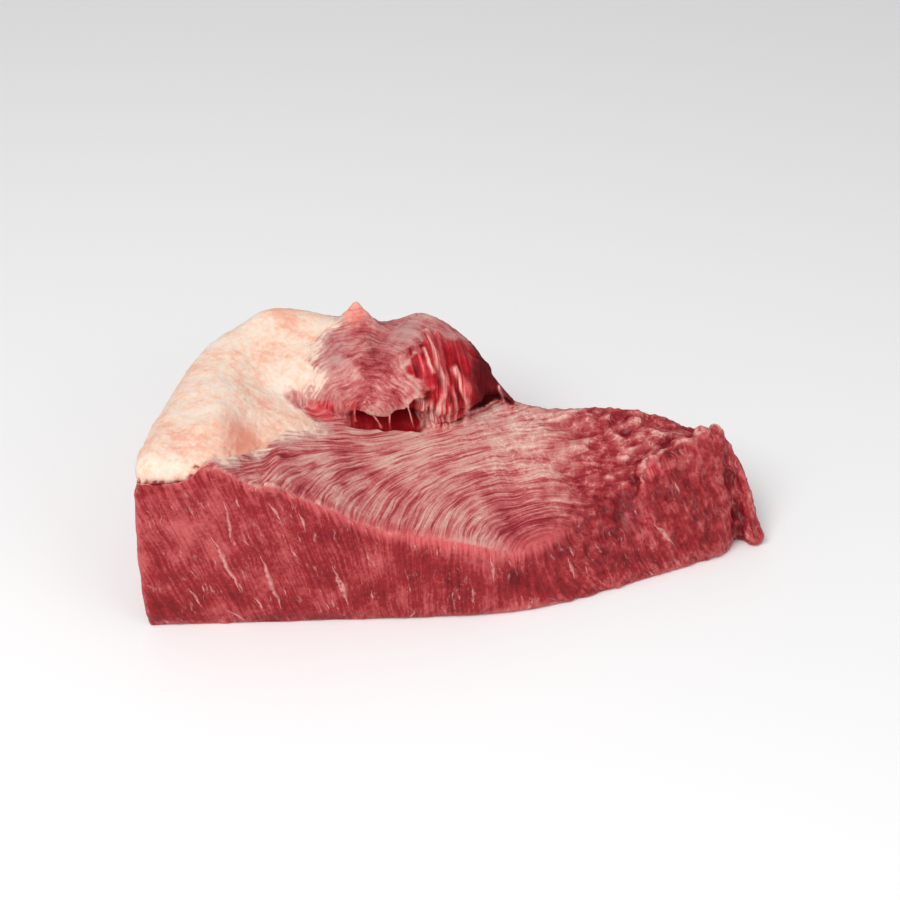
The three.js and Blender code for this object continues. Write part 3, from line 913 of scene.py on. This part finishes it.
class Nodes:
    """A material's node tree, built by short calls that return the socket to go on from."""

    def __init__(self, name):
        self.material = bpy.data.materials.new(name)
        self.material.use_nodes = True
        self.tree = self.material.node_tree
        self.shader = self.tree.nodes["Principled BSDF"]

    def put(self, socket, value):
        if isinstance(value, bpy.types.NodeSocket):
            self.tree.links.new(value, socket)
        else:
            socket.default_value = value

    def add(self, kind, out, **given):
        """A new node's output. Settings start in lower case. Inputs are named, or _ and their number."""
        node = self.tree.nodes.new("ShaderNode" + kind)
        for name, value in given.items():
            if name[0].islower():
                setattr(node, name, value)
            else:
                self.put(node.inputs[int(name[1:]) if name[0] == "_" else name.replace("_", " ")], value)
        return node.outputs[out]

    def attribute(self, name, out="Fac"):
        return self.add("Attribute", out, attribute_name=name)

    def math(self, operation, a, b=0.0):
        return self.add("Math", 0, operation=operation, _0=a, _1=b)

    def times(self, a, b):
        return self.math("MULTIPLY", a, b)

    def less(self, a, b):
        return self.math("SUBTRACT", a, b)

    def most(self, a, b):
        return self.math("MAXIMUM", a, b)

    def away(self, value, middle):
        """How far a value is from a middle, on either side."""
        return self.math("ABSOLUTE", self.less(value, middle))

    def total(self, *weighted, start=0.0):
        """The sum of values, each times its weight, and of a number to start from."""
        whole = start
        for value, weight in weighted:
            whole = self.math("ADD", whole, self.times(value, weight))
        return whole

    def scaled(self, vector, x, y, z):
        return self.add("VectorMath", 0, operation="MULTIPLY", _0=vector, _1=(x, y, z))

    def noise(self, vector, scale=1.0, detail=2.0, roughness=0.5):
        return self.add("TexNoise", "Fac", Vector=vector, Scale=scale, Detail=detail, Roughness=roughness)

    def lumps(self, size, detail=2.0, roughness=0.5):
        """Noise in space, with lumps of a size in millimetres."""
        return self.noise(self.add("TexCoord", "Object"), 1 / (size * MM), detail, roughness)

    def ramp(self, value, low, high, to_low=0.0, to_high=1.0):
        return self.add(
            "MapRange", 0, interpolation_type="SMOOTHSTEP",
            Value=value, From_Min=low, From_Max=high, To_Min=to_low, To_Max=to_high,
        )

    def blend(self, share, a, b):
        return self.add("Mix", 0, data_type="FLOAT", _0=share, _2=a, _3=b)

    def mix(self, share, under, over):
        """One colour laid over another, as a socket or as seen on screen."""
        over = over if isinstance(over, bpy.types.NodeSocket) else srgb(*over)
        return self.add("Mix", 2, data_type="RGBA", _0=share, _6=under, _7=over)

    def colours(self, value, tones):
        """A colour for each value, by a list of tones with the colours that they stand for."""
        node = self.tree.nodes.new("ShaderNodeValToRGB")
        ramp = node.color_ramp
        while len(ramp.elements) < len(tones):
            ramp.elements.new(0.5)
        for element, (place, *colour) in zip(ramp.elements, tones):
            element.position = place
            element.color = srgb(*colour)
        self.put(node.inputs[0], value)
        return node.outputs[0]

    def bump(self, height, distance, strength):
        bump = self.add("Bump", 0, Height=height, Distance=distance * MM, Strength=strength)
        self.put(self.shader.inputs["Normal"], bump)

    def gloss(self, colour, roughness, specular):
        self.put(self.shader.inputs["Base Color"], colour)
        self.put(self.shader.inputs["Roughness"], roughness)
        self.shader.inputs["Specular IOR Level"].default_value = specular

    def glow(self, weight, radius, depth):
        """Light that goes in and comes out again near by."""
        self.shader.inputs["Subsurface Weight"].default_value = weight
        self.shader.inputs["Subsurface Radius"].default_value = radius
        self.shader.inputs["Subsurface Scale"].default_value = depth * MM


class Meat(Nodes):
    """The nodes of raw beef, with the patterns that its colours are mixed by."""

    def __init__(self, name):
        super().__init__(name)
        self.grain = self.attribute("grain", "Vector")
        for name in ("level", "hollow", "edge", "lump", "cut", "sinew"):
            setattr(self, name, self.attribute(name))
        self.shade = self.less(self.attribute("tone"), 0.5)
        self.fine = self.streaks(0.6, 9)
        self.coarse = self.streaks(1.3, 26)
        self.streaky = self.total((self.coarse, 0.6), (self.fine, 0.4))
        self.pale = self.threads(2.4, 40, 0.06)
        self.dark = self.threads(3.4, 50, 0.06)
        self.line = self.waves(2.6)
        self.speck = self.lumps(0.9)
        self.grit = self.lumps(1.8, 3.0)
        self.mottle = self.lumps(12, 3.0)
        self.smudge = self.lumps(5, 3.0, 0.6)
        self.crumple = self.times(self.less(self.smudge, 0.5), self.attribute("loose"))
        self.front_edge = self.times(self.edge, self.less(1.0, self.times(self.lump, 0.8)))

    def drawn_out(self, vector, across, along, detail=1.0, roughness=0.5):
        """Noise drawn out along the grain."""
        return self.noise(self.scaled(vector, 1 / across, 1 / along, 0.1), detail=detail, roughness=roughness)

    def by_crowding(self, make):
        """One of three patterns, each twice as wide as the last, by how the fibres crowd together."""
        narrow = self.blend(self.ramp(self.level, 0, 1), make(1), make(2))
        return self.blend(self.ramp(self.level, 1, 2), narrow, make(4))

    def streaks(self, across, along, detail=1.0):
        """Soft streaks along the grain, of a width and a length."""
        return self.by_crowding(lambda wide: self.drawn_out(self.grain, across * wide, along, detail))

    def threads(self, across, along, half):
        """Thin lines along the grain, where a drawn-out noise crosses its middle."""
        return self.ramp(self.away(self.streaks(across, along, 2.0), 0.5), half, 0.0)

    def waves(self, spacing):
        """Even lines along the grain, a little bent."""
        fibre = self.add("SeparateXYZ", 0, Vector=self.grain)
        bend = self.drawn_out(self.grain, 8, 24)
        return self.by_crowding(
            lambda wide: self.math("SINE", self.total((fibre, 2 * math.pi / (spacing * wide)), (bend, 11.0)))
        )


def flesh_tone(n):
    """How light the cut flesh is, with painted shade in its hollows and painted light on its crests."""
    return n.total(
        (n.fine, 0.09), (n.coarse, 0.2), (n.speck, 0.06), (n.grit, 0.14), (n.mottle, 0.28),
        (n.crumple, 0.2), (n.shade, 0.16), (n.hollow, -0.22), start=0.225,
    )


def fibre_tone(n):
    """How light the film and the torn flesh are, by their fibres and folds and by painted shade in hollows.
    """
    combed = n.total(
        (n.attribute("ridge"), 0.22), (n.fine, 0.08), (n.coarse, 0.2), (n.pale, 0.11),
        (n.dark, -0.13), start=-0.24,
    )
    crease = n.ramp(n.away(n.lumps(8, 3.0, 0.6), 0.5), 0.05, 0.0)
    return n.total(
        (n.times(combed, n.attribute("order")), 1.0), (n.speck, 0.09), (n.grit, 0.12),
        (n.mottle, 0.36), (n.shade, 0.25), (n.line, 0.015), (n.hollow, -0.36),
        (n.edge, -0.1), (n.crumple, 0.5), (n.times(crease, n.attribute("slack")), 0.11),
        start=0.39,
    )


def cut_and_top(n, flesh, fibre):
    """Cut flesh with a painted highlight along its top edge, and film or bare flesh on top."""
    # A painted highlight in a ragged band along the cut's top edge
    jagged = n.total((n.front_edge, 1.0), (n.fine, 0.6), (n.coarse, 0.8))
    rim_highlight = n.mix(n.ramp(jagged, 1.05, 1.75, 0.0, 0.7), n.colours(flesh, CUT_TONES), RIM_HIGHLIGHT_RED)
    top = n.mix(n.lump, n.colours(fibre, FILM_TONES), n.colours(fibre, BARE_TONES))
    # The painted highlight runs over the edge onto the top
    brim_highlight = n.total((n.front_edge, 1.0), (n.coarse, 0.8), (n.fine, 0.5))
    top = n.mix(n.ramp(brim_highlight, 0.9, 1.7, 0.0, 0.65), top, BRIM_HIGHLIGHT_PINK)
    teeth = n.times(n.ramp(n.line, -0.5, -1.0, 0.0, 0.4), n.front_edge)
    return n.mix(teeth, n.mix(n.cut, top, rim_highlight), TEETH_RED)


def film_patches(n, colour):
    """Violet, grey and cream film, and coral flesh."""
    violet = n.times(n.attribute("violet"), n.ramp(n.smudge, 0.3, 0.6, 0.2, 0.85))
    colour = n.mix(violet, colour, VIOLET_FILM)
    fatty = n.attribute("fatty")
    patch = n.total((fatty, 0.6), (n.mottle, 0.5), (n.smudge, 0.9), (n.coarse, 0.9), (n.shade, 0.7))
    uncut = n.less(1.0, n.cut)
    beside = n.times(n.ramp(fatty, 0.0, 0.3), uncut)
    filmy = n.times(n.less(uncut, n.lump), 0.6)
    greyed = n.times(n.ramp(patch, 1.35, 1.7, 0.0, 0.8), n.most(beside, filmy))
    colour = n.mix(greyed, colour, GREY_FILM)
    colour = n.mix(n.times(n.ramp(patch, 1.62, 1.85), beside), colour, CREAM_FILM)
    coral = n.ramp(n.attribute("coral"), 0.1, 0.7, 0.0, 0.9)
    return n.mix(coral, colour, n.colours(n.streaky, CORAL_TONES))


def torn_places(n, colour, flesh, fibre):
    """The torn end with painted shade in its pit and the gap under the lip, and its sinews with painted
    highlights; the torn tip, and the curled flap's pale crest.
    """
    deep_shade = n.attribute("deep_shade")
    pit = n.ramp(deep_shade, 0.0, 0.5, 0.0, 0.85)
    torn = n.mix(pit, n.colours(fibre, TORN_TONES), n.colours(deep_shade, PIT_SHADE_TONES))
    colour = n.mix(n.attribute("torn"), colour, torn)
    colour = n.mix(n.attribute("tip"), colour, n.colours(flesh, TIP_TONES))
    crown = n.total((n.attribute("curl"), 0.7), (n.smudge, 1.3), (n.grit, 0.9), (n.coarse, 0.4))
    colour = n.mix(n.ramp(crown, 1.68, 2.2, 0.0, 0.8), colour, CROWN_PALE)
    colour = n.mix(n.times(n.sinew, 0.5), colour, SINEW_RED)
    # Pale streaks along the sinews' crests, partly their own colour and partly painted highlight
    pale_streaks_and_highlight = n.ramp(n.streaky, 0.37, 0.56)
    return n.mix(n.times(n.times(n.sinew, n.sinew), pale_streaks_and_highlight), colour, SINEW_PALE_AND_HIGHLIGHT)


def marbling(n, colour):
    """Flecks, crumbs and veins of fat on the cut faces, and smears of it at the thin end."""
    place = n.add("TexCoord", "Object")
    turn = n.add("TexNoise", "Color", Vector=place, Scale=1 / (9 * MM))
    bent = n.add("VectorMath", 0, operation="ADD", _0=n.grain, _1=n.scaled(turn, 6.0, 0.0, 0.0))
    fleck = n.ramp(n.drawn_out(bent, 1.6, 8, 3.0, 0.6), 0.56, 0.74)
    crumb = n.ramp(n.drawn_out(bent, 1.0, 2.4, 2.0), 0.61, 0.8, 0.0, 0.7)
    smear = n.times(n.ramp(n.drawn_out(bent, 3, 10, 4.0, 0.65), 0.52, 0.68, 0.0, 0.4), n.lump)
    cluster = n.ramp(n.lumps(10), 0.44, 0.6)
    marble = n.times(n.most(fleck, crumb), cluster)
    frayed = n.total((n.attribute("aside"), 1.0), (n.coarse, 1.0), (n.grit, 1.4))
    near = n.ramp(n.attribute("from_vein"), 3.2, 1.2)
    vein = n.times(n.ramp(n.away(frayed, 1.2), 1.3, 0.0), near)
    vein = n.times(vein, n.ramp(n.grit, 0.35, 0.6, 0.5, 1.0))
    colour = n.mix(n.times(smear, n.cut), colour, SMEAR_PINK)
    marble = n.times(n.most(marble, vein), n.cut)
    return n.mix(n.times(marble, 0.72), colour, MARBLE_PALE)


def meat_material():
    n = Meat("raw_beef")
    flesh, fibre = flesh_tone(n), fibre_tone(n)
    colour = film_patches(n, cut_and_top(n, flesh, fibre))
    colour = marbling(n, torn_places(n, colour, flesh, fibre))
    rough = n.blend(n.attribute("deep_shade"), n.ramp(n.mottle, 0.3, 0.7, 0.34, 0.5), 0.85)
    n.gloss(colour, n.blend(n.sinew, rough, 0.18), specular=0.18)
    n.bump(n.total((n.fine, 0.35), (n.speck, 0.25), (n.grit, 0.3), (n.pale, 0.15)), 0.5, 0.32)
    n.glow(0.08, (1.0, 0.3, 0.2), 1.5)
    return n.material


def fat_material():
    n = Nodes("raw_fat")
    broad, blotch = n.lumps(22), n.lumps(10, 3.0, 0.6)
    smudge, speck = n.lumps(5, 3.0, 0.6), n.lumps(2.0, 3.0, 0.6)
    ridge = n.noise(n.scaled(n.add("TexCoord", "Object"), 1.0, 0.2, 0.2), 1 / (1.6 * MM), 2.0)
    colour = n.colours(n.total((broad, 0.34), (blotch, 0.25), (speck, 0.26), (smudge, 0.15)), FAT_TONES)
    blush = n.total((n.attribute("blush"), 0.7), (ridge, 0.6), (smudge, 0.5))
    colour = n.mix(n.ramp(blush, 0.58, 1.4, 0.0, 0.95), colour, BLUSH_PINK)
    thin = n.total((n.attribute("thin"), 0.8), (blotch, 0.6), (smudge, 0.9))
    colour = n.mix(n.ramp(thin, 1.15, 1.6, 0.0, 0.6), colour, THIN_GREY)
    flesh = n.total((n.attribute("flesh"), 1.0), (smudge, 1.0), (ridge, 0.8))
    colour = n.mix(n.ramp(flesh, 1.15, 1.75, 0.0, 0.85), colour, n.colours(ridge, FLESH_TONES))
    colour = n.mix(n.attribute("fringe"), colour, FRINGE_RED)
    n.gloss(colour, n.ramp(speck, 0.3, 0.7, 0.38, 0.55), specular=0.35)
    n.bump(speck, 0.5, 0.6)
    n.glow(0.2, (1.0, 0.6, 0.4), 2.5)
    return n.material


def strand_material():
    n = Nodes("torn_strands")
    streak = n.noise(n.scaled(n.add("TexCoord", "Object"), 1.0, 1.0, 0.12), 1 / (2.5 * MM), 1.0)
    n.gloss(n.colours(streak, STRAND_TONES), n.ramp(streak, 0.3, 0.7, 0.32, 0.18), specular=0.5)
    n.glow(0.15, (1.0, 0.4, 0.3), 1.5)
    return n.material


def floor_material():
    n = Nodes("pale_floor")
    n.gloss((FLOOR_GREY, FLOOR_GREY, FLOOR_GREY, 1.0), FLOOR_ROUGHNESS, specular=0.5)
    return n.material


# Stage

def make_floor():
    corners = [(-1, -1), (1, -1), (1, 1), (-1, 1)]
    mesh = bpy.data.meshes.new("floor")
    mesh.from_pydata([(FLOOR_HALF * x, FLOOR_HALF * y, 0) for x, y in corners], [], [(0, 1, 2, 3)])
    mesh.materials.append(floor_material())
    linked("floor", mesh)


def make_light():
    world = bpy.data.worlds.new("studio")
    world.use_nodes = True
    sky = world.node_tree.nodes["Background"]
    sky.inputs["Color"].default_value = (1.0, 1.0, 1.0, 1.0)
    sky.inputs["Strength"].default_value = SKY_STRENGTH
    bpy.context.scene.world = world
    for name, place, size, power in LAMPS:
        light = bpy.data.lights.new(name, "AREA")
        light.size = size
        light.energy = power
        lamp = linked(name, light)
        lamp.location = place
        lamp.rotation_euler = (Vector(LAMP_TARGET) - Vector(place)).to_track_quat("-Z", "Y").to_euler()
    bpy.context.scene.view_settings.view_transform = "Standard"


def make_camera():
    data = bpy.data.cameras.new("camera")
    data.lens = CAMERA_LENS
    data.sensor_width = CAMERA_SENSOR
    camera = linked("camera", data)
    view = Vector((0.0, math.cos(CAMERA_ELEVATION), -math.sin(CAMERA_ELEVATION)))
    camera.location = Vector(CAMERA_TARGET) - CAMERA_DISTANCE * view
    camera.rotation_euler = (math.radians(90.0) - CAMERA_ELEVATION, 0.0, 0.0)
    bpy.context.scene.camera = camera


skin_tree = tree_of(make_skin())
piece("muscle", make_lean(skin_tree), meat_material(), "lean", "lean")
piece("fat", make_fat(skin_tree), fat_material(), "fat", "fat_cap")
piece("strands", make_strands(), strand_material(), "lean")
make_floor()
make_light()
make_camera()
